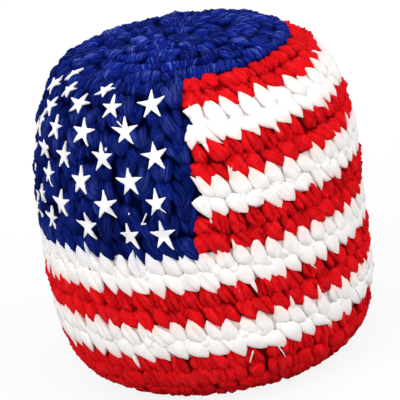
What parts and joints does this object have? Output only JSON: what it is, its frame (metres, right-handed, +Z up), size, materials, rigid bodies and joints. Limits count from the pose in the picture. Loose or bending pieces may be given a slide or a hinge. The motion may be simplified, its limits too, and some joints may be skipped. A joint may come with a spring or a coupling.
{
  "type": "footbag",
  "caption": "Squat crocheted kick bag with a blue crown, red and white bands and a blue field of white stars, filled with loose pellets.",
  "frame": {"origin": "centre of the pressed-flat base, on the surface that the bag stands on", "axes": "+Z up through the crown centre; -Y is the front, where the blue field's right-hand edge meets the short stripes; +X is to the right of it"},
  "size_m": [0.0506, 0.0503, 0.0516],
  "materials": {
    "blue_yarn": "soft fluffy yarn, matt",
    "red_yarn": "soft smooth yarn, matt",
    "white_yarn": "soft smooth yarn, matt",
    "star_felt": "thin felt, matt",
    "liner_fabric": "plain woven cotton",
    "pellets": "smooth plastic pellets"
  },
  "bodies": {
    "root": {"crown_disc": "blue_yarn", "canton_panel": "blue_yarn", "start_loop": "blue_yarn", "red_stripe_1": "red_yarn", "red_stripe_2": "red_yarn", "red_stripe_3": "red_yarn", "red_stripe_4": "red_yarn", "red_stripe_5": "red_yarn", "base_disc": "red_yarn", "closing_loop": "red_yarn", "white_stripe_1": "white_yarn", "white_stripe_2": "white_yarn", "white_stripe_3": "white_yarn", "white_stripe_4": "white_yarn", "inner_liner": "liner_fabric", "pellet_fill": "pellets", "star_1_1": "star_felt", "star_1_2": "star_felt", "star_2_1": "star_felt", "star_2_2": "star_felt", "star_2_3": "star_felt", "star_2_4": "star_felt", "star_2_5": "star_felt", "star_2_6": "star_felt", "star_3_1": "star_felt", "star_3_2": "star_felt", "star_3_3": "star_felt", "star_3_4": "star_felt", "star_3_5": "star_felt", "star_3_6": "star_felt", "star_4_1": "star_felt", "star_4_2": "star_felt", "star_4_3": "star_felt", "star_4_4": "star_felt", "star_4_5": "star_felt", "star_4_6": "star_felt", "star_5_1": "star_felt", "star_5_2": "star_felt", "star_5_3": "star_felt", "star_5_4": "star_felt", "star_5_5": "star_felt", "star_6_1": "star_felt", "star_6_2": "star_felt", "star_6_3": "star_felt", "star_6_4": "star_felt", "star_6_5": "star_felt", "star_6_6": "star_felt", "star_7_1": "star_felt", "star_7_2": "star_felt", "star_7_3": "star_felt", "star_7_4": "star_felt", "star_7_5": "star_felt", "star_7_6": "star_felt"}
  },
  "joints": []
}
